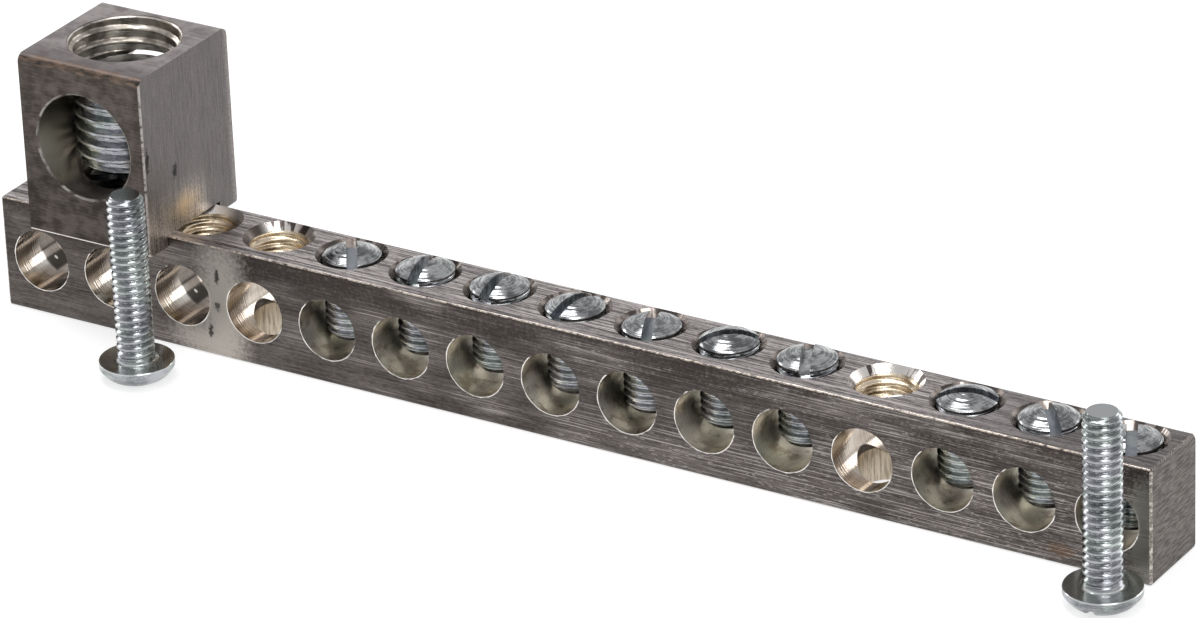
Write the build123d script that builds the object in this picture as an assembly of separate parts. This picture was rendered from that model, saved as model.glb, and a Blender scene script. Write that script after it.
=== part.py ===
from build123d import *
import math
import os

# Ground bar: an extruded bar bored and tapped for wires, a lug on one end and its loose mounting screws.
# Origin: underside of the bar, midway between the two mounting holes. +X runs along the bar, away from
# the lug. +Y runs from the front face to the back. +Z is up. All sizes are in millimetres.

# Bar
wire_pitch = 7.9375
wire_positions = 15
end_margin = 4.25
bar_depth = 8.3
bar_height = 11.11
screw_row_from_front = 4.6
front_top_round = 0.3
back_top_round = 0.85
front_bottom_round = 0.3
back_bottom_round = 0.5
end_break = 0.2

# Holes of the bar
wire_hole_diameter = 6.02
wire_hole_height = 5.4
tapped_hole_diameter = 5.5
countersink_diameter = 6.7
countersink_depth = 0.7
mounting_hole_diameter = 5.5
mounting_position = 4

# Terminal screws: dome-topped, slotted and threaded over their whole length
thread_clearance = 0.05
terminal_screw_length = 8.55
terminal_dome_height = 0.85
terminal_dome_shoulder_diameter = 3.4
terminal_dome_shoulder_height = 0.57
terminal_dome_top_diameter = 1.2
terminal_slot_width = 1.0
terminal_slot_depth = 1.3
terminal_tip_taper = 0.8
terminal_tip_narrowing = 0.55
terminal_tip_gap = 0.95
first_terminal = 5

# How far each terminal screw is backed out, and which way its slot points, by its position
terminal_screw_rise = {6: 0.3, 7: 0.35, 8: 0.1, 10: 0.33, 11: 0.4, 13: 0.12, 14: 0.18}
terminal_slot_angle = {5: 124, 6: 97, 7: 90, 8: 78, 9: 111, 10: 35, 11: 114, 13: 21, 14: 130, 15: 116}
usual_slot_angle = 90

# Lug
lug_position = 2
lug_width = 13.44
lug_depth = 13.93
lug_height = 16.52
lug_lip_drop = 1.05
lug_side_clearance = 0.05
lug_top_round = 0.8
lug_lip_round = 0.3
lug_wire_hole_diameter = 10.2
lug_wire_hole_rise = 8.55
lug_rim_break = 0.15
lug_tapped_hole_diameter = 10.35
lug_tap_end_gap = 0.3
lug_counterbore_diameter = 9.4
lug_floor_thickness = 1.3
lug_screw_hole_diameter = 5.8

# Set screw of the lug
set_screw_length = 8.1
set_screw_tip_gap = 1.4
set_screw_tip_chamfer = 0.6
set_screw_top_chamfer = 0.5
set_screw_slot_width = 1.8
set_screw_slot_depth = 2.4
set_screw_slot_angle = 10

# Screw at the bottom of the lug's counterbore, which holds the lug on the bar
lug_screw_head_diameter = 8.4
lug_screw_head_height = 1.5
lug_screw_length = 3.75
lug_screw_tip_chamfer = 0.4
lug_screw_slot_width = 1.2
lug_screw_slot_depth = 0.8
lug_screw_slot_angle = 35

# Mounting screws, standing on their heads in front of the bar
mounting_screw_diameter = 3.48
mounting_screw_length = 16.4
mounting_head_diameter = 6.97
mounting_head_height = 1.9
mounting_head_edge = 0.6
mounting_head_flat_diameter = 3.0
mounting_head_bulge = 0.33
mounting_neck_bevel = 0.25
mounting_tip_chamfer = 0.4
mounting_slot_width = 1.0
mounting_slot_depth = 1.0
left_screw_from_end = 19.6
left_screw_from_front = 6.97
left_screw_slot_angle = 31
right_screw_from_end = 2.18
right_screw_from_front = 4.63
right_screw_slot_angle = 94

# Places worked out from the sizes
bar_length = (wire_positions - 1) * wire_pitch + 2 * end_margin
front_y = -screw_row_from_front
middle_y = front_y + bar_depth / 2
far_mounting_position = wire_positions + 1 - mounting_position
wire_floor = wire_hole_height - wire_hole_diameter / 2
lug_top = bar_height + lug_height
lug_wire_height = bar_height + lug_wire_hole_rise
lug_wire_floor = lug_wire_height - lug_wire_hole_diameter / 2
past = 1.0


def position_x(position):
    """The middle of a wire position, counted from the lug's end of the bar."""
    return (position - (wire_positions + 1) / 2) * wire_pitch


def upright(x, y, bottom, top, diameter):
    """A cylinder that stands along +Z."""
    shape = Cylinder(diameter / 2, top - bottom, align=(Align.CENTER, Align.CENTER, Align.MIN))
    return Pos(x, y, bottom) * shape


def turned(lines):
    """A solid of revolution about Z, from a closed profile drawn in X and Z."""
    return revolve(Plane.XZ * make_face(lines), Axis.Z)


def cross_bore(x, height, diameter, length, rim_break):
    """A cutter along Y with a small bevel where it leaves each face."""
    radius = diameter / 2
    half = length / 2
    flare = rim_break + past
    outline = Polyline(
        (0, -half - past),
        (radius + flare, -half - past),
        (radius, -half + rim_break),
        (radius, half - rim_break),
        (radius + flare, half + past),
        (0, half + past),
        close=True,
    )
    return Pos(x, middle_y, height) * Rot(90, 0, 0) * turned(outline)


def rounded_section(width, height, corner_rounds):
    """A rectangle on its own centre; each corner, as a pair of signs, has its own radius."""
    section = Rectangle(width, height)
    for (side, level), radius in corner_rounds.items():
        corner = section.vertices().sort_by_distance((side * width / 2, level * height / 2))[0]
        section = fillet(corner, radius)
    return section


def along_bar(section, x, length):
    """A section drawn in Y and Z, drawn out along X and centred on x."""
    return extrude(Plane.YZ.offset(x - length / 2) * section, length)


def slot_cutter(bottom, top, width, length, angle):
    """A block that cuts a screwdriver slot across a head on the Z axis."""
    block = Box(length, width, top - bottom, align=(Align.CENTER, Align.CENTER, Align.MIN))
    return Pos(0, 0, bottom) * Rot(0, 0, angle) * block


def make_bar():
    """The extruded bar, bored through for wires and tapped from above for their screws."""
    rounds = {
        (-1, 1): front_top_round,
        (1, 1): back_top_round,
        (-1, -1): front_bottom_round,
        (1, -1): back_bottom_round,
    }
    section = Pos(middle_y, bar_height / 2) * rounded_section(bar_depth, bar_height, rounds)
    bar = along_bar(section, 0, bar_length)
    ends = bar.faces().sort_by(Axis.X)
    bar = chamfer(ends[0].edges() + ends[-1].edges(), end_break)

    slope = (countersink_diameter - tapped_hole_diameter) / 2 / countersink_depth
    tap_and_countersink = turned(
        Polyline(
            (0, wire_hole_height),
            (tapped_hole_diameter / 2, wire_hole_height),
            (tapped_hole_diameter / 2, bar_height - countersink_depth),
            (countersink_diameter / 2 + slope * past, bar_height + past),
            (0, bar_height + past),
            close=True,
        )
    )
    for position in range(1, wire_positions + 1):
        x = position_x(position)
        bar -= Pos(x, middle_y, wire_hole_height) * Rot(90, 0, 0) * Cylinder(wire_hole_diameter / 2, bar_depth + past)
        bar -= Pos(x, 0, 0) * tap_and_countersink
    for position in (mounting_position, far_mounting_position):
        bar -= upright(position_x(position), 0, -past, wire_hole_height, mounting_hole_diameter)
    return bar


def make_lug():
    """The lug: a block that straddles the bar, bored for a thick wire and tapped from above."""
    x = position_x(lug_position)
    height = lug_height + lug_lip_drop
    rounds = {
        (-1, 1): lug_top_round,
        (1, 1): lug_top_round,
        (-1, -1): lug_lip_round,
        (1, -1): lug_lip_round,
    }
    section = Pos(middle_y, lug_top - height / 2) * rounded_section(lug_depth, height, rounds)
    channel_width = bar_depth + 2 * lug_side_clearance
    section -= Pos(middle_y, bar_height - lug_lip_drop) * Rectangle(channel_width, 2 * lug_lip_drop)
    lug = along_bar(section, x, lug_width)
    lug -= cross_bore(x, lug_wire_height, lug_wire_hole_diameter, lug_depth, lug_rim_break)
    tapped_radius = lug_tapped_hole_diameter / 2
    tap_end = lug_wire_floor + lug_tap_end_gap
    tap_and_bevel = turned(
        Polyline(
            (0, tap_end),
            (tapped_radius, tap_end),
            (tapped_radius, lug_top - lug_rim_break),
            (tapped_radius + lug_rim_break + past, lug_top + past),
            (0, lug_top + past),
            close=True,
        )
    )
    lug -= Pos(x, 0, 0) * tap_and_bevel
    seat = bar_height + lug_floor_thickness
    lug -= upright(x, 0, seat, lug_wire_height, lug_counterbore_diameter)
    lug -= upright(x, 0, bar_height - past, lug_wire_height, lug_screw_hole_diameter)
    return lug


def make_terminal_screw(position):
    """A headless screw with a slotted dome, its tip down in the wire hole."""
    radius = tapped_hole_diameter / 2 - thread_clearance
    tip_radius = radius - terminal_tip_narrowing
    rim = terminal_screw_length - terminal_dome_height
    slot_floor = terminal_screw_length - terminal_slot_depth
    angle = terminal_slot_angle.get(position, usual_slot_angle)
    screw = turned(
        Polyline(
            (0, 0),
            (tip_radius, 0),
            (radius, terminal_tip_taper),
            (radius, rim),
            (terminal_dome_shoulder_diameter / 2, rim + terminal_dome_shoulder_height),
            (terminal_dome_top_diameter / 2, terminal_screw_length),
            (0, terminal_screw_length),
            close=True,
        )
    )
    screw -= slot_cutter(slot_floor, terminal_screw_length + past, terminal_slot_width, 4 * radius, angle)
    tip = wire_floor + terminal_tip_gap + terminal_screw_rise.get(position, 0)
    return Pos(position_x(position), 0, tip) * screw


def make_set_screw():
    """The lug's set screw: threaded over its whole length, with a slotted flat top."""
    radius = lug_tapped_hole_diameter / 2 - thread_clearance
    screw = turned(
        Polyline(
            (0, 0),
            (radius - set_screw_tip_chamfer, 0),
            (radius, set_screw_tip_chamfer),
            (radius, set_screw_length - set_screw_top_chamfer),
            (radius - set_screw_top_chamfer, set_screw_length),
            (0, set_screw_length),
            close=True,
        )
    )
    slot_floor = set_screw_length - set_screw_slot_depth
    top = set_screw_length + past
    screw -= slot_cutter(slot_floor, top, set_screw_slot_width, 4 * radius, set_screw_slot_angle)
    return Pos(position_x(lug_position), 0, lug_wire_floor + set_screw_tip_gap) * screw


def make_lug_screw():
    """The flat-headed screw that clamps the lug's floor to the bar."""
    seat = bar_height + lug_floor_thickness
    tip = seat - lug_screw_length
    radius = tapped_hole_diameter / 2 - thread_clearance
    head_radius = lug_screw_head_diameter / 2
    top = seat + lug_screw_head_height
    screw = turned(
        Polyline(
            (0, tip),
            (radius - lug_screw_tip_chamfer, tip),
            (radius, tip + lug_screw_tip_chamfer),
            (radius, seat),
            (head_radius, seat),
            (head_radius, top),
            (0, top),
            close=True,
        )
    )
    slot_floor = top - lug_screw_slot_depth
    screw -= slot_cutter(slot_floor, top + past, lug_screw_slot_width, 4 * head_radius, lug_screw_slot_angle)
    return Pos(position_x(lug_position), 0, 0) * screw


def make_mounting_screw(x, y, slot_angle):
    """A slotted pan-head screw, standing on its head with the tip up."""
    radius = mounting_screw_diameter / 2
    head_radius = mounting_head_diameter / 2
    flat = mounting_head_flat_diameter / 2
    side_bottom = mounting_head_height - mounting_head_edge
    run = head_radius - flat
    chord = math.hypot(run, side_bottom)
    bulge_point = (
        (flat + head_radius) / 2 + mounting_head_bulge * side_bottom / chord,
        side_bottom / 2 - mounting_head_bulge * run / chord,
    )
    top = mounting_head_height + mounting_screw_length
    neck = radius + mounting_neck_bevel
    screw = turned(
        Polyline(
            (0, 0),
            (flat, 0),
            bulge_point,
            (head_radius, side_bottom),
            (head_radius, mounting_head_height),
            (neck, mounting_head_height),
            (radius, mounting_head_height + mounting_neck_bevel),
            (radius, top - mounting_tip_chamfer),
            (radius - mounting_tip_chamfer, top),
            (0, top),
            close=True,
        )
    )
    screw -= slot_cutter(-past, mounting_slot_depth, mounting_slot_width, 4 * head_radius, slot_angle)
    return Pos(x, y, 0) * screw


parts = {
    "bar": make_bar(),
    "lug_body": make_lug(),
    "lug_set_screw": make_set_screw(),
    "lug_mounting_screw": make_lug_screw(),
    "mounting_screw_left": make_mounting_screw(
        left_screw_from_end - bar_length / 2, front_y - left_screw_from_front, left_screw_slot_angle
    ),
    "mounting_screw_right": make_mounting_screw(
        bar_length / 2 - right_screw_from_end, front_y - right_screw_from_front, right_screw_slot_angle
    ),
}
for position in range(first_terminal, wire_positions + 1):
    if position != far_mounting_position:
        parts[f"terminal_screw_{position:02d}"] = make_terminal_screw(position)

os.makedirs("parts", exist_ok=True)
for name, shape in parts.items():
    shape.label = name
    export_step(shape, f"parts/{name}.step")
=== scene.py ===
import math
from collections import namedtuple

import bpy
import numpy as np
from mathutils import Matrix, Vector


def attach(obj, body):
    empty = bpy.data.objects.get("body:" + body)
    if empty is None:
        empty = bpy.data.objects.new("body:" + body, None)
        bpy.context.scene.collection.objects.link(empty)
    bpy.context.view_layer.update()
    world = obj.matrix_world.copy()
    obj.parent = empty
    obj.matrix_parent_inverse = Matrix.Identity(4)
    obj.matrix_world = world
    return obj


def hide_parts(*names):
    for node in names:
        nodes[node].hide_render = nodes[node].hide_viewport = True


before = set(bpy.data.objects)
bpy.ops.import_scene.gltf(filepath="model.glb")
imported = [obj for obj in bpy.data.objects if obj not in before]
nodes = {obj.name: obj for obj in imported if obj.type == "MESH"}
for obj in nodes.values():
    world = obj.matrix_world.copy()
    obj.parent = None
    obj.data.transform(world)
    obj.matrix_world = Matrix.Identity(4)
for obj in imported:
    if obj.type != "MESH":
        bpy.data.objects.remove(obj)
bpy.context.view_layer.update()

# Sizes in millimetres, as in the part's solids. +X runs along the bar, +Z is up, and the screw row
# lies on y = 0.
PITCH = 7.9375
HALF_PITCH = 4.0  # a little over, for lines drawn between two positions
BAR_TOP = 11.11
BAR_FRONT = -4.6
BAR_END = 59.8125
WIRE_Z, WIRE_R = 5.4, 3.01
TAP_R = 2.75
CONE_R, CONE_FLOOR = 3.40, 10.34  # the countersinks' rim, and where they meet the tapped holes
BEFORE_BAR = -5.0  # of the screws, only the two loose ones stand in front of this y

LUG_X = -47.625
LUG_RIGHT = -40.905
LUG_FRONT, LUG_BACK = -7.415, 6.515
LUG_TOP, LUG_LIP = 27.63, 10.06
LUG_WIRE_Z, LUG_WIRE_R = 19.66, 5.1
LUG_TAP_R = 5.175

OPEN_POSITIONS = (1, 3, 4, 12)
TERMINALS = {  # position: (height of the screw's tip, angle of its slot in degrees)
    5: (3.34, 124), 6: (3.64, 97), 7: (3.69, 90), 8: (3.44, 78), 9: (3.34, 111),
    10: (3.67, 35), 11: (3.74, 114), 13: (3.46, 21), 14: (3.52, 130), 15: (3.34, 116),
}
TERMINAL_R, TERMINAL_RIM, TERMINAL_DOME = 2.70, 7.7, 0.85
SET_SCREW_R, SET_SCREW_LENGTH, SET_SCREW_TIP = 5.125, 8.1, 15.96
LOOSE_R, LOOSE_LENGTH = 1.74, 18.3
LOOSE_HEAD_R, LOOSE_HEAD = 3.485, 1.9
TERMINAL_SLOT, SET_SCREW_SLOT, LOOSE_SLOT = (1.0, 1.3), (1.8, 2.4), (1.0, 1.0)  # width, depth

# A thread's pitch and depth, and the shares of a turn that are flat at its crest and at its root.
Thread = namedtuple("Thread", "pitch depth crest root")
TERMINAL_THREAD = Thread(0.72, 0.30, 0.20, 0.26)
SET_SCREW_THREAD = Thread(1.27, 0.62, 0.20, 0.30)
LOOSE_THREAD = Thread(0.72, 0.26, 0.30, 0.06)
TAPPED_THREAD = Thread(0.72, 0.30, 0.16, 0.30)
LUG_TAPPED_THREAD = Thread(1.27, 0.365, 0.10, 0.48)


def position_x(position):
    """The middle of a wire position along the bar."""
    return (position - 8) * PITCH


# --- shader graphs ---


def rgb(red, green, blue):
    return (red, green, blue, 1.0)


EVEN = (1, 1, 1)  # noise that is stretched in no direction


class Graph:
    """Builds one node material; every call gives back an output socket."""

    def __init__(self, name):
        self.material = bpy.data.materials.new(name)
        self.material.use_nodes = True
        self.tree = self.material.node_tree
        self.tree.nodes.clear()

    def add(self, kind, inputs, output=0, **settings):
        node = self.tree.nodes.new(kind)
        for key, value in settings.items():
            setattr(node, key, value)
        for slot, value in inputs.items():
            if isinstance(value, bpy.types.NodeSocket):
                self.tree.links.new(value, node.inputs[slot])
            else:
                node.inputs[slot].default_value = value
        return node.outputs[output]

    def math(self, operation, a, b=0.0, clamp=False):
        return self.add("ShaderNodeMath", {0: a, 1: b}, operation=operation, use_clamp=clamp)

    def times(self, a, *more):
        for b in more:
            a = self.math("MULTIPLY", a, b)
        return a

    def plus(self, a, *more):
        for b in more:
            a = self.math("ADD", a, b)
        return a

    def minus(self, a, b):
        return self.math("SUBTRACT", a, b)

    def flip(self, a):
        return self.math("SUBTRACT", 1.0, a, clamp=True)

    def either(self, a, *more):
        for b in more:
            a = self.math("MAXIMUM", a, b)
        return a

    def weigh(self, *pairs):
        """The sum of values, each times its weight."""
        parts = [value if weight == 1 else self.times(value, weight) for value, weight in pairs]
        return self.plus(*parts)

    def length(self, a, b):
        return self.math("SQRT", self.plus(self.times(a, a), self.times(b, b)))

    def absolute(self, a):
        return self.math("ABSOLUTE", a)

    def off(self, value, middle, reach=1.0):
        """How far a value is past the middle, counted in reaches."""
        gap = self.minus(value, middle)
        return gap if reach == 1.0 else self.times(gap, 1.0 / reach)

    def away(self, value, middle, reach=1.0):
        """How far a value is from the middle on either side, counted in reaches."""
        return self.absolute(self.off(value, middle, reach))

    def rise(self, value, low, high):
        """0 at low and 1 at high, with a soft step between; low may be the larger."""
        slots = {0: value, 1: low, 2: high, 3: 0.0, 4: 1.0}
        return self.add("ShaderNodeMapRange", slots, interpolation_type="SMOOTHSTEP")

    def band(self, value, low, high, soft):
        """1 between low and high, with soft edges."""
        rising = self.rise(value, low - soft, low + soft)
        return self.times(rising, self.rise(value, high + soft, high - soft))

    def noise(self, spot, stretch, scale, detail, roughness):
        """Noise over x, y and z, each of them multiplied by its part of stretch."""
        parts = [part if by == 1 else self.times(part, by) for part, by in zip(spot, stretch)]
        vector = self.add("ShaderNodeCombineXYZ", dict(enumerate(parts)))
        return self.add("ShaderNodeTexNoise", {0: vector, 2: scale, 3: detail, 4: roughness})

    def mix(self, a, b, factor, **settings):
        """The colour a, turning to b as the factor goes from 0 to 1."""
        slots = {0: factor, 6: a, 7: b}
        return self.add("ShaderNodeMix", slots, output=2, data_type="RGBA", **settings)

    def level(self, a, b, factor):
        """The number a, turning to b as the factor goes from 0 to 1."""
        return self.add("ShaderNodeMix", {0: factor, 2: a, 3: b}, data_type="FLOAT")

    def bump(self, height, strength, distance, normal=None):
        slots = {"Strength": strength, "Distance": distance, "Height": height}
        if normal is not None:
            slots["Normal"] = normal
        return self.add("ShaderNodeBump", slots)

    def place(self):
        """x, y and z of the shaded point in millimetres, and the three parts of its normal."""
        coords = self.tree.nodes.new("ShaderNodeTexCoord")
        split = []
        for output in ("Object", "Normal"):
            parts = self.tree.nodes.new("ShaderNodeSeparateXYZ")
            self.tree.links.new(coords.outputs[output], parts.inputs[0])
            split.append(parts.outputs)
        return [self.times(part, 1000.0) for part in split[0]], list(split[1])

    def surface(self, shader):
        """The material, with the shader as its surface."""
        out = self.tree.nodes.new("ShaderNodeOutputMaterial")
        self.tree.links.new(shader, out.inputs[0])
        return self.material

    def metal(self, color, roughness, normal):
        slots = {"Base Color": color, "Metallic": 1.0, "Roughness": roughness, "Normal": normal}
        return self.surface(self.add("ShaderNodeBsdfPrincipled", slots))


# Marks on the bar's front: colour, middle in x and z, half width, half height, strength, how ragged
# they are, and the share of their reach that is at full strength.
PALE, FAIR, NICK = rgb(0.58, 0.535, 0.48), rgb(0.48, 0.44, 0.40), rgb(0.015, 0.013, 0.012)
# RUST is a stain; the second colour is a painted reflection on the front's right end
RUST, PAINTED_REFLECTION = rgb(0.15, 0.085, 0.045), rgb(0.30, 0.29, 0.25)
FRONT_MARKS = (
    (PALE, -35.30, 5.4, 3.40, 10.00, 0.85, 0.5, 0.20),
    (FAIR, -37.40, 1.4, 4.60, 2.30, 0.80, 0.6, 0.20),
    (NICK, -35.75, 8.1, 0.26, 0.85, 0.85, 1.6, 0.55),
    (NICK, -35.85, 5.1, 0.34, 0.55, 0.75, 1.8, 0.55),
    (NICK, -36.75, 2.4, 0.27, 0.80, 0.85, 1.6, 0.55),
    (RUST, 51.10, 1.4, 1.40, 0.65, 0.55, 1.6, 0.55),
    # a painted reflection on the strip by the right end
    (PAINTED_REFLECTION, 59.20, 5.0, 1.90, 5.60, 0.70, 0.5, 0.55),
)
# Nicks on the lug's right side: middle in y and z, half width, half height.
LUG_NICKS = ((-2.85, 16.9, 0.42, 0.8), (-6.95, 19.5, 0.30, 1.2))


def bar_metal():
    """Drawn aluminium gone dull: streaks along X, bright cut holes and sawn ends."""
    g = Graph("bar_metal")
    spot, normal = g.place()
    x, y, z = spot
    facing_x, facing_y, facing_z = (g.absolute(part) for part in normal)
    column = g.math("ROUND", g.times(x, 1.0 / PITCH))
    dx = g.minus(x, g.times(column, PITCH))
    dz = g.minus(z, WIRE_Z)
    wire_r = g.length(dx, dz)
    tap_r = g.length(dx, y)
    on_side = g.rise(facing_y, 0.6, 0.8)
    on_front = g.times(on_side, g.rise(y, 0.0, -1.0))
    on_top = g.rise(normal[2], 0.75, 0.9)
    on_end = g.rise(facing_x, 0.75, 0.9)
    within_tap = g.rise(tap_r, TAP_R + 0.08, TAP_R + 0.04)
    in_wire = g.times(g.rise(wire_r, WIRE_R + 0.05, WIRE_R + 0.01), g.rise(facing_y, 0.5, 0.3))
    on_wire_wall = g.times(in_wire, g.rise(wire_r, WIRE_R - 0.11, WIRE_R - 0.03))
    in_tap = g.times(within_tap, g.rise(z, 5.5, 5.6), g.flip(on_wire_wall))
    in_cone = g.times(
        g.rise(tap_r, TAP_R - 0.05, TAP_R + 0.02),
        g.rise(tap_r, CONE_R + 0.02, CONE_R - 0.02),
        g.rise(z, CONE_FLOOR - 0.04, CONE_FLOOR + 0.04),
        g.rise(facing_z, 0.97, 0.93),
    )
    # positions 1 to 4 and 12 have no screw and keep their clean cut
    four, eleven, twelve = (position_x(position) + HALF_PITCH for position in (4, 11, 12))
    clean = g.either(g.rise(x, four + 0.01, four - 0.01), g.band(x, eleven, twelve, 0.01))
    under_lug = g.rise(x, -35.8, -35.9)

    # faces
    long_streak = g.noise(spot, (0.08, 5.0, 5.0), 1.0, 4.0, 0.6)
    fine_streak = g.noise(spot, (0.25, 11.0, 11.0), 1.0, 3.0, 0.6)
    speckle = g.noise(spot, (1.6, 5.0, 5.0), 1.0, 4.0, 0.65)
    cloud = g.noise(spot, (0.11, 0.2, 0.35), 1.0, 3.0, 0.5)
    crumb = g.noise(spot, EVEN, 2.6, 4.0, 0.7)
    tone = g.weigh((long_streak, 0.24), (fine_streak, 0.22), (speckle, 0.26), (cloud, 0.28))
    tone = g.rise(tone, 0.37, 0.63)
    side_color = g.mix(rgb(0.042, 0.035, 0.031), rgb(0.168, 0.149, 0.139), tone)
    top_tone = g.weigh((long_streak, 0.45), (fine_streak, 0.35), (speckle, 0.20))
    top_tone = g.rise(top_tone, 0.42, 0.60)
    top_color = g.mix(rgb(0.11, 0.094, 0.091), rgb(0.86, 0.79, 0.77), top_tone)
    # painted shade: the top darker towards the right end
    right_end_shade = g.times(g.rise(x, 34.0, 52.0), 0.78)
    top_color = g.mix(top_color, rgb(0.10, 0.086, 0.084), right_end_shade)
    end_grain = g.rise(g.noise(spot, (1, 0.8, 6.0), 1.0, 4.0, 0.7), 0.35, 0.65)
    end_color = g.mix(rgb(0.055, 0.048, 0.043), rgb(0.19, 0.17, 0.157), end_grain)
    color = g.mix(side_color, top_color, on_top)

    # scratches, specks and pits
    scratch = g.rise(g.noise(spot, (0.13, 13.0, 13.0), 1.0, 2.0, 0.5), 0.55, 0.66)
    scratch = g.times(scratch, g.rise(g.weigh((cloud, 1), (x, 0.004)), 0.34, 0.62))
    speck = g.rise(g.noise(spot, (0.22, 1, 1), 7.5, 2.0, 0.5), 0.60, 0.68)
    speck = g.times(speck, g.rise(g.weigh((cloud, 1), (x, 0.005)), 0.40, 0.72))
    bright = g.times(g.either(scratch, g.times(speck, 0.65)), 0.52)
    color = g.mix(color, rgb(0.70, 0.655, 0.63), bright)
    pit = g.times(g.rise(g.noise(spot, EVEN, 2.2, 3.0, 0.6), 0.60, 0.72), 0.55)
    color = g.mix(color, rgb(0.035, 0.030, 0.028), pit)

    # the darker band under the front's upper edge, and the marks on the front
    dusk = g.times(g.rise(z, 6.8, 9.6), g.rise(crumb, 0.26, 0.56), g.rise(cloud, 0.74, 0.46))
    color = g.mix(color, rgb(0.040, 0.033, 0.029), g.times(dusk, on_front, 0.80))
    for mark_color, mark_x, mark_z, wide, high, strength, ragged, inner in FRONT_MARKS:
        far = g.length(g.off(x, mark_x, wide), g.off(z, mark_z, high))
        far = g.plus(far, g.times(g.minus(crumb, 0.5), 2.0 * ragged))
        color = g.mix(color, mark_color, g.times(g.rise(far, 1.15, inner), on_front, strength))
    color = g.mix(color, end_color, on_end)
    rough = g.level(0.44, 0.36, on_top)

    # painted highlights along edges: the front's top edge, the front's upright corners at both
    # ends, and the rims of the wire holes
    front_edge_highlight = g.plus(g.away(y, BAR_FRONT), g.away(z, BAR_TOP))
    front_edge_highlight = g.times(g.rise(front_edge_highlight, 0.205, 0.183), g.rise(crumb, 0.34, 0.62))
    color = g.mix(color, rgb(0.84, 0.73, 0.63), front_edge_highlight)
    corner_highlight = g.plus(g.away(y, BAR_FRONT), g.away(g.absolute(x), BAR_END))
    corner_highlight = g.times(g.rise(corner_highlight, 0.26, 0.16), g.rise(crumb, 0.44, 0.60))
    color = g.mix(color, rgb(0.80, 0.74, 0.66), corner_highlight)
    # painted highlight on the wire holes' rims, in broken lengths
    rim_noise = g.noise(spot, EVEN, 1.3, 2.0, 0.5)
    rim_edge = g.rise(g.minus(wire_r, g.times(rim_noise, 0.2)), 3.0, 2.96)
    rim_part = g.rise(g.weigh((rim_noise, 1), (dx, -0.10), (dz, -0.16)), 0.28, 0.50)
    rim = g.times(g.rise(wire_r, 2.97, 3.01), rim_edge, on_side, rim_part)
    color = g.mix(color, rgb(0.95, 0.92, 0.87), rim)

    # wire holes: grey and stained where a screw has been used, bright where not
    rings = g.noise((0.0, y, wire_r), (1, 6.0, 2.0), 1.0, 2.0, 0.6)
    patch = g.noise(spot, (1, 0.6, 1), 0.55, 3.0, 0.55)
    used_tone = g.rise(g.weigh((rings, 0.35), (patch, 0.65), (dz, -0.05)), 0.36, 0.72)
    used_bore = g.mix(rgb(0.53, 0.50, 0.44), rgb(0.94, 0.88, 0.76), used_tone)
    brown = g.noise((x, y, g.plus(z, 30.0)), EVEN, 0.8, 3.0, 0.6)
    brown = g.times(g.rise(brown, 0.50, 0.66), 0.6)
    used_bore = g.mix(used_bore, rgb(0.34, 0.255, 0.165), brown)
    clean_tone = g.rise(g.weigh((rings, 0.4), (patch, 0.6)), 0.36, 0.62)
    clean_bore = g.mix(rgb(0.35, 0.292, 0.245), rgb(0.65, 0.58, 0.505), clean_tone)

    # those under the lug: painted shade in the upper left, a painted lit band, and a painted
    # reflection of the tapped hole above, with a painted glint
    around = g.weigh((dz, 0.9), (dx, -0.45))
    # painted shade: darker in the upper left of the bores under the lug
    dull = g.times(g.rise(around, 0.1, 1.2), under_lug)
    clean_bore = g.mix(clean_bore, rgb(0.15, 0.13, 0.115), g.times(dull, 0.8))
    lit = g.times(g.band(around, -1.35, 0.1, 0.2), g.rise(y, 0.2, -1.2), under_lug)
    clean_bore = g.mix(clean_bore, rgb(0.97, 0.93, 0.86), g.times(lit, 0.8))
    low_side = g.times(g.rise(dz, 0.0, -0.3), under_lug)
    mirrored = g.either(g.away(y, 0.35, 1.0 / 0.77), g.away(dx, -2.05, 1.0 / 1.1))
    mirrored = g.times(g.rise(mirrored, 1.15, 0.80), low_side, 0.9)
    clean_bore = g.mix(clean_bore, rgb(0.035, 0.030, 0.026), mirrored)
    glint = g.rise(g.length(g.off(y, 0.3), g.off(dx, -2.1)), 0.20, 0.10)
    clean_bore = g.mix(clean_bore, rgb(0.95, 0.92, 0.88), g.times(glint, low_side))
    color = g.mix(color, g.mix(used_bore, clean_bore, clean), in_wire)
    rough = g.level(rough, g.level(0.30, 0.10, clean), in_wire)

    # tapped holes, and below them the mounting holes through the floor of a wire hole
    tap_color = g.mix(rgb(0.32, 0.25, 0.165), rgb(0.92, 0.80, 0.62), g.rise(patch, 0.35, 0.62))
    color = g.mix(color, tap_color, in_tap)
    rough = g.level(rough, 0.27, in_tap)
    upright = g.flip(g.rise(facing_z, 0.8, 0.9))
    in_floor = g.times(within_tap, g.rise(z, 3.3, 3.2), g.flip(in_wire), upright)
    strokes = g.rise(g.noise(spot, (5.0, 5.0, 0.6), 1.0, 3.0, 0.6), 0.34, 0.60)
    floor_color = g.mix(rgb(0.40, 0.335, 0.26), rgb(0.72, 0.64, 0.52), strokes)
    color = g.mix(color, floor_color, in_floor)
    rough = g.level(rough, 0.42, in_floor)

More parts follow.
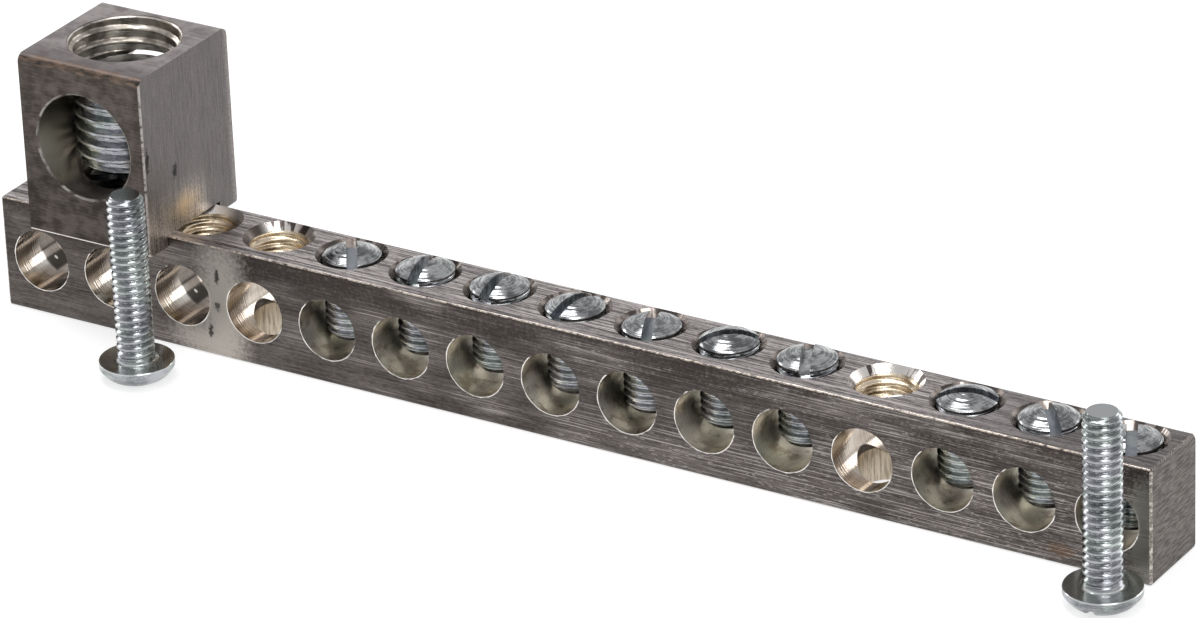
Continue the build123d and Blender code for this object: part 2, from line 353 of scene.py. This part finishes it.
    # countersinks: chatter marks as facets, with painted highlights on those round the back of a
    # dark cone
    angle = g.math("ARCTAN2", y, dx)
    chatter = g.noise((angle, column, tap_r), (3.1, 2.9, 0.25), 1.0, 2.0, 0.6)
    facet = g.rise(g.weigh((chatter, 1), (clean, 0.12), (under_lug, 0.24)), 0.52, 0.58)
    lean = g.level(-0.3, 0.45, g.rise(x, -19.0, -21.0))
    back = g.rise(g.plus(y, g.times(dx, lean), g.times(clean, 1.3)), 0.8, 2.2)
    facet_highlight = g.mix(rgb(0.50, 0.44, 0.40), rgb(0.95, 0.90, 0.85), clean)
    cone = g.mix(rgb(0.13, 0.11, 0.10), facet_highlight, g.times(back, facet))
    color = g.mix(color, cone, in_cone)
    rough = g.level(rough, 0.24, in_cone)

    height = g.weigh((fine_streak, 0.6), (speckle, 0.4))
    height = g.level(height, g.times(rings, 0.6), g.either(in_wire, in_cone))
    bumps = g.bump(height, 0.35, 0.00006)
    bumps = g.bump(g.rise(wire_r, WIRE_R - 0.03, WIRE_R + 0.13), 0.8, 0.00006, bumps)
    return g.metal(color, rough, bumps)


def lug_metal():
    """The lug: drawn front and top, sawn sides with upright strokes, bright cut holes."""
    g = Graph("lug_metal")
    spot, normal = g.place()
    x, y, z = spot
    facing_x, facing_y, facing_z = (g.absolute(part) for part in normal)
    dx = g.minus(x, LUG_X)
    dz = g.minus(z, LUG_WIRE_Z)
    wire_r = g.length(dx, dz)
    tap_r = g.length(dx, y)
    on_front = g.rise(facing_y, 0.6, 0.8)
    on_top = g.rise(normal[2], 0.75, 0.9)
    on_side = g.rise(facing_x, 0.6, 0.8)
    in_wire = g.rise(wire_r, LUG_WIRE_R + 0.07, LUG_WIRE_R + 0.02)
    in_wire = g.times(in_wire, g.rise(facing_y, 0.5, 0.3), g.flip(on_top))
    in_tap = g.times(
        g.rise(tap_r, LUG_TAP_R + 0.125, LUG_TAP_R + 0.085),
        g.rise(z, 14.8, 14.9),
        g.flip(g.rise(facing_z, 0.9, 0.95)),
        g.flip(in_wire),
    )

    # front and top
    mottle = g.noise(spot, EVEN, 0.55, 4.0, 0.6)
    fine = g.noise(spot, (0.5, 7.0, 7.0), 1.0, 3.0, 0.6)
    front_tone = g.rise(g.weigh((mottle, 0.65), (fine, 0.35)), 0.38, 0.62)
    front_tone = g.weigh((front_tone, 0.8), (g.rise(z, 13.0, 27.0), 0.25))
    front_color = g.mix(rgb(0.037, 0.031, 0.027), rgb(0.118, 0.100, 0.090), front_tone)
    top_color = g.mix(rgb(0.205, 0.178, 0.175), rgb(0.50, 0.45, 0.445), front_tone)
    top_color = g.mix(top_color, rgb(0.13, 0.112, 0.106), g.times(g.rise(y, -2.5, -7.0), 0.6))

    # sawn sides, with a painted warm reflection low down, a painted highlight along the back edge,
    # and the countersink's painted warm reflection
    strokes = g.noise(spot, (3.0, 5.0, 0.25), 1.0, 4.0, 0.65)
    fine_strokes = g.noise(spot, (3.0, 14.0, 0.6), 1.0, 3.0, 0.6)
    grit = g.noise(spot, (1, 7.0, 4.0), 1.0, 3.0, 0.6)
    strokes = g.weigh((strokes, 0.5), (grit, 0.5))
    side_tone = g.rise(g.weigh((strokes, 0.6), (fine_strokes, 0.4)), 0.36, 0.64)
    side_color = g.mix(rgb(0.096, 0.087, 0.085), rgb(0.178, 0.163, 0.158), side_tone)
    # painted warm reflection low down on the side
    low = g.rise(g.weigh((z, 1), (fine_strokes, 3.0)), 18.0, 13.0)
    low = g.times(low, g.rise(strokes, 0.35, 0.60), g.rise(y, 2.6, 0.0), 0.85)
    side_color = g.mix(side_color, rgb(0.62, 0.545, 0.465), low)
    back_edge_highlight = g.times(g.rise(y, LUG_BACK - 0.9, LUG_BACK - 0.1), g.rise(grit, 0.30, 0.60))
    side_color = g.mix(side_color, rgb(0.40, 0.365, 0.35), g.times(back_edge_highlight, 0.6))
    glow = g.length(g.off(y, -1.6, 1.0 / 0.32), g.off(z, 13.1, 1.0 / 0.60))
    glow = g.rise(g.weigh((glow, 1), (fine_strokes, 2.2)), 2.1, 0.8)
    side_color = g.mix(side_color, rgb(0.80, 0.58, 0.33), g.times(glow, 0.75))
    crumb = g.noise(spot, EVEN, 2.6, 4.0, 0.7)
    ragged = g.times(g.minus(crumb, 0.5), 3.0)
    for nick_y, nick_z, wide, high in LUG_NICKS:
        far = g.length(g.off(y, nick_y, wide), g.off(z, nick_z, high))
        nick = g.times(g.rise(g.plus(far, ragged), 1.1, 0.6), 0.9)
        side_color = g.mix(side_color, rgb(0.012, 0.010, 0.010), nick)
    color = g.mix(front_color, side_color, on_side)
    color = g.mix(color, top_color, on_top)
    rough = g.level(0.42, 0.40, on_side)

    # painted highlights along edges: the round along the front's top, the upright corner, the lip's
    # lower edge
    from_front = g.away(y, LUG_FRONT)
    wave = g.noise(spot, (0.7, 1.5, 2.5), 1.0, 3.0, 0.6)
    top_round_highlight = g.times(g.rise(z, LUG_TOP - 0.85, LUG_TOP - 0.5), g.rise(from_front, 1.0, 0.6))
    top_round_highlight = g.times(top_round_highlight, g.flip(on_side), g.rise(wave, 0.40, 0.62), 0.65)
    color = g.mix(color, rgb(0.31, 0.215, 0.16), top_round_highlight)
    corner_highlight = g.rise(g.plus(from_front, g.away(x, LUG_RIGHT)), 0.22, 0.10)
    corner_highlight = g.times(corner_highlight, g.rise(wave, 0.34, 0.52), 0.35)
    lip_highlight = g.times(g.rise(z, LUG_LIP + 0.26, LUG_LIP + 0.16), g.rise(from_front, 0.34, 0.24))
    color = g.mix(color, rgb(0.95, 0.89, 0.85), g.either(corner_highlight, lip_highlight))

    # wire hole, with a painted sheen on its left and a lighter band along its lower rim
    patch = g.noise(spot, EVEN, 0.4, 3.0, 0.55)
    bore_tone = g.rise(g.weigh((patch, 1), (dz, -0.02)), 0.36, 0.62)
    bore = g.mix(rgb(0.31, 0.28, 0.235), rgb(0.58, 0.52, 0.435), bore_tone)
    sheen = g.length(g.off(dx, -4.4, 1.0 / 0.42), g.off(dz, -0.6, 1.0 / 0.30))
    sheen = g.times(g.rise(g.plus(sheen, patch), 1.5, 0.6), g.rise(y, -1.0, -4.0), 0.8)
    bore = g.mix(bore, rgb(0.95, 0.87, 0.74), sheen)
    low_rim = g.times(g.rise(dz, -3.6, -4.6), g.rise(patch, 0.36, 0.56), g.rise(y, -3.0, -6.0))
    bore = g.mix(bore, rgb(0.80, 0.72, 0.60), g.times(low_rim, 0.8))
    color = g.mix(color, bore, in_wire)
    rough = g.level(rough, 0.30, in_wire)

    # tapped hole, and painted highlights on the rims of both holes
    tap_color = g.mix(rgb(0.25, 0.225, 0.19), rgb(0.68, 0.63, 0.56), g.rise(patch, 0.36, 0.60))
    color = g.mix(color, tap_color, in_tap)
    rough = g.level(rough, 0.28, in_tap)
    rim_noise = g.noise(spot, EVEN, 0.9, 2.0, 0.5)
    # painted highlight on the wire hole's front rim
    rim = g.band(wire_r, LUG_WIRE_R - 0.02, LUG_WIRE_R + 0.16, 0.04)
    rim = g.times(rim, on_front, g.rise(rim_noise, 0.38, 0.60), 0.6)
    top_rim_highlight = g.band(tap_r, LUG_TAP_R - 0.015, LUG_TAP_R + 0.065, 0.03)
    at_top = g.rise(z, LUG_TOP - 0.3, LUG_TOP - 0.2)
    top_rim_highlight = g.times(top_rim_highlight, at_top, g.rise(rim_noise, 0.34, 0.56))
    color = g.mix(color, rgb(0.88, 0.85, 0.81), g.either(rim, top_rim_highlight))

    drawn, sawn = g.weigh((fine, 0.5), (mottle, 0.5)), g.weigh((strokes, 0.4), (fine_strokes, 0.6))
    bumps = g.bump(g.level(drawn, sawn, on_side), 0.4, 0.00007)
    return g.metal(color, rough, bumps)


def zinc_steel(name, dark, light, rough_low, rough_high):
    """Bright zinc-plated steel with faint stains, tool marks that run round, and scuffed domes."""
    g = Graph(name)
    spot, normal = g.place()
    x, y, z = spot
    dx = g.minus(x, g.times(g.math("ROUND", g.times(x, 1.0 / PITCH)), PITCH))
    axis_r = g.length(dx, y)
    on_dome = g.times(g.rise(z, 10.9, 11.0), g.rise(axis_r, 2.8, 2.7))
    before_bar = g.rise(y, BEFORE_BAR, BEFORE_BAR - 0.5)

    stain = g.noise(spot, EVEN, 0.45, 3.0, 0.5)
    lines = g.noise(spot, (0.9, 0.9, 11.0), 1.0, 3.0, 0.6)
    rings = g.noise((axis_r, x, y), (9.0, 0.5, 0.5), 1.0, 3.0, 0.6)
    grain = g.noise(spot, (1, 1, 2.0), 5.0, 3.0, 0.6)
    tool = g.level(lines, rings, on_dome)
    wear = g.rise(g.weigh((stain, 0.45), (grain, 0.20), (tool, 0.35)), 0.38, 0.62)
    color = g.mix(dark, light, wear)
    tint = g.noise((x, y, g.plus(z, 40.0)), EVEN, 0.35, 2.0, 0.5)
    hue = g.mix(rgb(0.96, 1.02, 0.98), rgb(0.985, 0.985, 1.03), g.rise(tint, 0.40, 0.60))
    color = g.mix(color, hue, 1.0, blend_type="MULTIPLY")

    blotch = g.noise((x, y, g.plus(z, 70.0)), EVEN, 0.9, 3.0, 0.6)
    blotch = g.rise(g.weigh((blotch, 0.6), (rings, 0.4)), 0.42, 0.58)
    dome_color = g.mix(rgb(0.20, 0.207, 0.214), rgb(0.70, 0.71, 0.71), blotch)
    color = g.mix(color, dome_color, g.times(on_dome, 0.9))
    at_tip = g.rise(z, LOOSE_LENGTH - 0.08, LOOSE_LENGTH - 0.03)
    at_tip = g.times(at_tip, g.rise(normal[2], 0.9, 0.95), before_bar)
    color = g.mix(color, rgb(0.49, 0.505, 0.515), at_tip)
    # a painted highlight on the face under a loose screw's head
    under_head_highlight = g.times(g.band(z, LOOSE_HEAD - 0.10, LOOSE_HEAD + 0.15, 0.05), before_bar)
    color = g.mix(color, rgb(0.80, 0.83, 0.81), g.times(under_head_highlight, 0.8))
    rough = g.level(rough_low, rough_high, stain)
    height = g.weigh((grain, 0.4), (tool, 0.6))
    return g.metal(color, rough, g.bump(height, g.level(0.35, 0.30, on_dome), 0.00004))


BAR_METAL = bar_metal()
LUG_METAL = lug_metal()
ZINC = zinc_steel("zinc_steel", rgb(0.165, 0.172, 0.178), rgb(0.49, 0.497, 0.505), 0.13, 0.25)
ZINC_SLOT = zinc_steel("zinc_steel_slot", rgb(0.26, 0.28, 0.30), rgb(0.44, 0.46, 0.49), 0.28, 0.40)


# --- meshes ---

ROWS_PER_TURN = 16
PLAIN_STEP = 0.12  # between rows where there is no thread
SCREW_SIDES, LUG_SCREW_SIDES = 64, 96
SCREW_SHARP, HOLE_SHARP = 32, 40  # degrees
LINER_PROUD = 0.03  # how far the root of a hole's thread stands proud of the hole's wall
LINER_SUNK = 0.06  # how far its back lies in that wall


def put_piece(name, mesh, material, body, slot, *replaced):
    piece = bpy.data.objects.new(name, mesh)
    bpy.context.scene.collection.objects.link(piece)
    if not mesh.materials:
        mesh.materials.append(material)
    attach(piece, body)
    if replaced:
        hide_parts(*replaced)


def mesh_from(name, points, faces):
    """A mesh from points in millimetres."""
    mesh = bpy.data.meshes.new(name)
    mesh.from_pydata((np.asarray(points) / 1000.0).tolist(), [], faces)
    mesh.update()
    return mesh


def smooth(mesh, degrees):
    """The mesh shaded smooth, but for edges sharper than so many degrees."""
    mesh.shade_smooth()
    mesh.set_sharp_from_angle(angle=math.radians(degrees))
    return mesh


def angles(around):
    return np.arange(around) * 2 * math.pi / around


def groove(turns, thread):
    """How deep the thread is cut at a place counted in turns: 0 on the crest and 1 at the root."""
    distance = np.abs((turns % 1.0) - 0.5)
    flank = (1.0 - thread.crest - thread.root) / 2
    return np.clip((thread.root / 2 + flank - distance) / flank, 0.0, 1.0)


def outline_rows(outline, pitch, low, high):
    """The outline divided into rows, finely where it is threaded."""
    rows = []
    for (r0, z0), (r1, z1) in zip(outline, outline[1:]):
        threaded = z1 > low - 1e-9 and z0 < high + 1e-9 and z1 > z0
        step = pitch / ROWS_PER_TURN if threaded else PLAIN_STEP
        count = max(1, math.ceil(math.hypot(r1 - r0, z1 - z0) / step))
        for k in range(count):
            t = k / count
            rows.append((r0 + (r1 - r0) * t, z0 + (z1 - z0) * t))
    rows.append(outline[-1])
    return np.array([row for row in rows if row[0] > 1e-6])


def turned_thread(name, outline, thread, span, around, place):
    """A closed turned body. The outline is a list of (radius, height) from the bottom of the axis
    to its top. The span holds the lowest and the highest threaded height, and the length over which
    the thread fades at both."""
    low, high, fade = span
    rows = outline_rows(outline, thread.pitch, low, high)
    theta = angles(around)
    radius = np.repeat(rows[:, 0:1], around, 1)
    height = np.repeat(rows[:, 1:2], around, 1)
    weight = np.clip((height - low) / fade, 0, 1) * np.clip((high - height) / fade, 0, 1)
    turns = (height + place[2]) / thread.pitch - theta / (2 * math.pi)
    radius = radius - thread.depth * weight * groove(turns, thread)
    sides = (radius * np.cos(theta), radius * np.sin(theta), height)
    points = (np.stack(sides, -1) + np.array(place)).reshape(-1, 3).tolist()
    bottom, top = len(points), len(points) + 1
    last = (len(rows) - 1) * around
    for end in (outline[0][1], outline[-1][1]):
        points.append([place[0], place[1], end + place[2]])
    faces = []
    for j in range(0, last, around):
        for i in range(around):
            k = (i + 1) % around
            faces.append((j + i, j + k, j + around + k, j + around + i))
    for i in range(around):
        k = (i + 1) % around
        faces.append((bottom, k, i))
        faces.append((top, last + i, last + k))
    return mesh_from(name, points, faces)


def slot_block(name, place, bottom, top, width, length, angle):
    """The closed block that cuts a slot, turned by an angle in degrees."""
    c, s = math.cos(math.radians(angle)), math.sin(math.radians(angle))
    points = []
    for h in (bottom, top):
        for u, v in ((-1, -1), (1, -1), (1, 1), (-1, 1)):
            a, b = u * length / 2, v * width / 2
            points.append([place[0] + a * c - b * s, place[1] + a * s + b * c, h])
    faces = [(3, 2, 1, 0), (4, 5, 6, 7), (0, 1, 5, 4), (1, 2, 6, 5), (2, 3, 7, 6), (3, 0, 4, 7)]
    return mesh_from(name, points, faces)


def cut_slot(mesh, block):
    """The mesh with the block taken out of it; the faces of the cut take the second material."""
    for item in (mesh, block):
        item.materials.append(ZINC)
        item.materials.append(ZINC_SLOT)
    block.polygons.foreach_set("material_index", [1] * len(block.polygons))
    body = bpy.data.objects.new("cut_body", mesh)
    tool = bpy.data.objects.new("cut_tool", block)
    for item in (body, tool):
        bpy.context.scene.collection.objects.link(item)
    cut = body.modifiers.new("slot", "BOOLEAN")
    cut.operation = "DIFFERENCE"
    cut.solver = "EXACT"
    cut.object = tool
    evaluated = body.evaluated_get(bpy.context.evaluated_depsgraph_get())
    result = bpy.data.meshes.new_from_object(evaluated)
    name = mesh.name
    for item in (body, tool):
        bpy.data.objects.remove(item)
    for item in (mesh, block):
        bpy.data.meshes.remove(item)
    result.name = name
    return result


def thread_liner(name, x, radius, thread, low, high, around, bore=None, phase=0.0):
    """The thread of a tapped hole as a closed sleeve whose back lies in the hole's wall. It starts
    at low, or just above the cross bore where one is given as (height, radius)."""
    theta = angles(around)
    rows = int((high - low) / thread.pitch * ROWS_PER_TURN)
    root_r = radius - LINER_PROUD
    crest_r = root_r - thread.depth
    start = np.full(around, low)
    if bore:
        beside = crest_r * np.cos(theta)
        start = bore[0] + np.sqrt(np.maximum(bore[1] ** 2 - beside**2, 0)) + 0.05
    height = start + (high - start) * np.linspace(0, 1, rows + 1)[:, None]
    cut = groove(height / thread.pitch - theta / (2 * math.pi) + phase, thread)
    lead = np.clip((high - height) / (0.45 * thread.pitch), 0.0, 1.0)
    inner = root_r - thread.depth * (1 - cut) * lead
    points = []
    for ring in (inner, np.full_like(inner, radius + LINER_SUNK)):
        sides = (ring * np.cos(theta) + x, ring * np.sin(theta), height)
        points += np.stack(sides, -1).reshape(-1, 3).tolist()
    size = (rows + 1) * around
    last = rows * around
    faces = []
    for j in range(0, last, around):
        for i in range(around):
            k = (i + 1) % around
            a, b, c, d = j + i, j + k, j + around + k, j + around + i
            faces.append((d, c, b, a))
            faces.append((a + size, b + size, c + size, d + size))
    for i in range(around):
        k = (i + 1) % around
        faces.append((i, k, k + size, i + size))
        faces.append((last + k, last + i, last + i + size, last + k + size))
    return mesh_from(name, points, faces)


def dome_points(rim_radius, rim, height):
    """A low dome from its rim to its middle, with the rings the lathe left on it."""
    steps, relief = 36, 0.018
    sphere = (rim_radius**2 + height**2) / (2 * height)
    half = math.asin(rim_radius / sphere)
    points = []
    for k in range(1, steps + 1):
        angle = half * (1 - k / steps)
        radius = sphere * math.sin(angle)
        ring = math.sin(10.5 * radius) + 0.7 * math.sin(17.3 * radius + 1.0)
        fade = max(0.0, min(1.0, radius / 0.4, (rim_radius - radius) / 0.2))
        dome = rim + height - sphere * (1 - math.cos(angle))
        points.append((radius, dome + relief * ring * fade))
    return points


def head_points(neck_radius, rim_radius, height, bulge):
    """The rounded side of a loose screw's head, which stands on its crown."""
    wide = rim_radius - neck_radius
    chord = math.hypot(wide, height)
    points = []
    for k in range(9):
        t = k / 8
        out = bulge * math.sin(math.pi * t) / chord
        radius = neck_radius + wide * t + out * height
        points.append((min(radius, rim_radius), max(height * t - out * wide, 0.0)))
    return points


def add_terminal_screw(position):
    name = f"terminal_screw_{position:02d}"
    tip, angle = TERMINALS[position]
    place = (position_x(position), 0.0, tip)
    top = tip + TERMINAL_RIM + TERMINAL_DOME
    outline = [(0, 0), (2.05, 0), (2.15, 0.06), (TERMINAL_R, 0.8), (TERMINAL_R, TERMINAL_RIM)]
    outline += dome_points(TERMINAL_R, TERMINAL_RIM, TERMINAL_DOME)
    span = (0.5, TERMINAL_RIM - 0.15, 0.25)
    mesh = turned_thread(name + "_threads", outline, TERMINAL_THREAD, span, SCREW_SIDES, place)
    wide, deep = TERMINAL_SLOT
    block = slot_block(name + "_slot", place, top - deep, top + 1.0, wide, 8.0, angle)
    mesh = smooth(cut_slot(mesh, block), SCREW_SHARP)
    put_piece(name + "_look", mesh, ZINC, name + "_body", "zinc_steel", name)


def add_set_screw():
    place = (LUG_X, 0.0, SET_SCREW_TIP)
    top = SET_SCREW_TIP + SET_SCREW_LENGTH
    outline = [
        (0, 0), (4.4, 0), (4.525, 0.03), (SET_SCREW_R, 0.6), (SET_SCREW_R, 7.6),
        (SET_SCREW_R - 0.5, SET_SCREW_LENGTH), (0, SET_SCREW_LENGTH),
    ]
    span = (0.15, 8.0, 0.3)
    mesh = turned_thread("set_screw", outline, SET_SCREW_THREAD, span, LUG_SCREW_SIDES, place)
    wide, deep = SET_SCREW_SLOT
    block = slot_block("set_screw_slot", place, top - deep, top + 1.44, wide, 14.0, 10)
    mesh = smooth(cut_slot(mesh, block), SCREW_SHARP)
    put_piece("lug_set_screw_look", mesh, ZINC, "lug_set_screw_body", "zinc_steel", "lug_set_screw")


def add_loose_screw(side, x, y, angle):
    """A mounting screw taken out and stood on its head."""
    name = f"mounting_screw_{side}"
    place = (x, y, 0.0)
    outline = [(0, 0), (1.4, 0)] + head_points(1.5, LOOSE_HEAD_R, 1.3, 0.33)
    outline += [(LOOSE_HEAD_R, 1.84), (3.44, LOOSE_HEAD), (2.0, LOOSE_HEAD), (1.83, 1.97)]
    outline += [(1.745, 2.12), (LOOSE_R, 2.2), (LOOSE_R, LOOSE_LENGTH - 0.4)]
    outline += [(LOOSE_R - 0.4, LOOSE_LENGTH), (0, LOOSE_LENGTH)]
    span = (2.25, LOOSE_LENGTH - 0.05, 0.35)
    mesh = turned_thread(name + "_threads", outline, LOOSE_THREAD, span, SCREW_SIDES, place)
    wide, deep = LOOSE_SLOT
    mesh = cut_slot(mesh, slot_block(name + "_slot", place, -1.0, deep, wide, 10.0, angle))
    put_piece(name + "_look", smooth(mesh, SCREW_SHARP), ZINC, "bar_body", "zinc_steel", name)


def add_tapped_threads():
    for position in OPEN_POSITIONS:
        mesh = thread_liner(
            f"thread_{position:02d}", position_x(position), TAP_R, TAPPED_THREAD,
            7.2, CONE_FLOOR + 0.02, SCREW_SIDES, bore=(WIRE_Z, WIRE_R),
        )
        name = f"tapped_thread_{position:02d}"
        put_piece(name, smooth(mesh, HOLE_SHARP), BAR_METAL, "bar_body", "bar_metal")
    mesh = thread_liner(
        "lug_thread", LUG_X, LUG_TAP_R, LUG_TAPPED_THREAD,
        24.25, LUG_TOP - 0.17, LUG_SCREW_SIDES, phase=0.5,
    )
    put_piece("lug_tapped_thread", smooth(mesh, HOLE_SHARP), LUG_METAL, "bar_body", "lug_metal")


for position in TERMINALS:
    add_terminal_screw(position)
add_set_screw()
add_loose_screw("left", 19.6 - BAR_END, BAR_FRONT - 6.97, 31)
add_loose_screw("right", BAR_END - 2.18, BAR_FRONT - 4.63, 94)
add_tapped_threads()

for name, material in (("bar", BAR_METAL), ("lug_body", LUG_METAL), ("lug_mounting_screw", ZINC)):
    nodes[name].data.materials.clear()
    nodes[name].data.materials.append(material)


# --- floor, lights, world and camera ---


def make_floor():
    """A pale table. Seen directly, or mirrored in metal, it glows besides, so that it is white but
    for the object's shadow; it lights the object only as a pale table does."""
    g = Graph("floor")
    path = g.tree.nodes.new("ShaderNodeLightPath").outputs
    seen = g.either(path["Is Camera Ray"], path["Is Glossy Ray"], path["Is Transmission Ray"])
    grain = g.noise(g.place()[0], EVEN, 0.9, 2.0, 0.5)
    shade = g.mix(rgb(0.44, 0.44, 0.44), rgb(0.46, 0.46, 0.46), grain)
    diffuse = g.add("ShaderNodeBsdfDiffuse", {0: shade})
    glow = g.add("ShaderNodeEmission", {0: rgb(1.0, 1.0, 1.0), 1: 0.68})
    both = g.add("ShaderNodeAddShader", {0: diffuse, 1: glow})
    g.surface(g.add("ShaderNodeMixShader", {0: seen, 1: diffuse, 2: both}))
    reach, level = 1500.0, -0.02
    corners = [(u * reach, v * reach, level) for u, v in ((-1, -1), (1, -1), (1, 1), (-1, 1))]
    mesh = mesh_from("floor", corners, [(0, 1, 2, 3)])
    mesh.materials.append(g.material)
    floor = bpy.data.objects.new("floor", mesh)
    bpy.context.scene.collection.objects.link(floor)


def make_world():
    """A studio that is pale round the horizon and dimmer overhead."""
    world = bpy.data.worlds.new("studio")
    world.use_nodes = True
    tree = world.node_tree
    coords = tree.nodes.new("ShaderNodeTexCoord")
    split = tree.nodes.new("ShaderNodeSeparateXYZ")
    ramp = tree.nodes.new("ShaderNodeValToRGB")
    stops = ((0.05, rgb(0.88, 0.88, 0.88)), (0.75, rgb(0.42, 0.42, 0.43)))
    for element, (position, color) in zip(ramp.color_ramp.elements, stops):
        element.position = position
        element.color = color
    tree.links.new(coords.outputs["Generated"], split.inputs[0])
    tree.links.new(split.outputs[2], ramp.inputs[0])
    tree.links.new(ramp.outputs[0], tree.nodes["Background"].inputs[0])
    bpy.context.scene.world = world


def add_light(name, place, target, size, power):
    """A soft lamp: its place, target and size in metres, and its power in watts."""
    data = bpy.data.lights.new(name, "AREA")
    data.shape = "RECTANGLE"
    data.size, data.size_y = size
    data.energy = power
    light = bpy.data.objects.new(name, data)
    light.location = place
    aim = Vector(target) - Vector(place)
    light.rotation_euler = aim.to_track_quat("-Z", "Y").to_euler()
    bpy.context.scene.collection.objects.link(light)


def make_camera():
    """The photograph's camera, fitted to the corners and holes of the bar and the lug."""
    focal_pixels, photo_width, sensor = 6738.777, 1200, 36.0
    place = (0.2924004, -0.4520796, 0.2714564)
    right = Vector((0.85074815, 0.52429393, -0.03665327))
    down = Vector((0.20073012, -0.38858439, -0.89928282))
    ahead = Vector((-0.48573141, 0.75770578, -0.43582903))
    data = bpy.data.cameras.new("camera")
    data.sensor_width = sensor
    data.sensor_fit = "HORIZONTAL"
    data.lens = focal_pixels / photo_width * sensor
    camera = bpy.data.objects.new("camera", data)
    turn = Matrix((right, -down, -ahead)).transposed().to_4x4()
    camera.matrix_world = Matrix.Translation(place) @ turn
    bpy.context.scene.collection.objects.link(camera)
    bpy.context.scene.camera = camera


make_floor()
make_world()
add_light("key", (0.45, -0.35, 0.60), (0, 0, 0), (0.45, 0.35), 1.5)
add_light("softbox", (0.50, 0.76, 0.27), (0, 0, 0), (0.50, 0.28), 1.1)
add_light("overhead", (-0.05, -0.10, 0.75), (0, 0, 0), (0.75, 0.22), 2.6)
add_light("left", (-0.70, 0.06, 0.30), (-0.02, 0, 0.01), (0.26, 0.22), 0.6)
make_camera()
bpy.context.scene.view_settings.view_transform = "Standard"

bpy.context.view_layer.update()
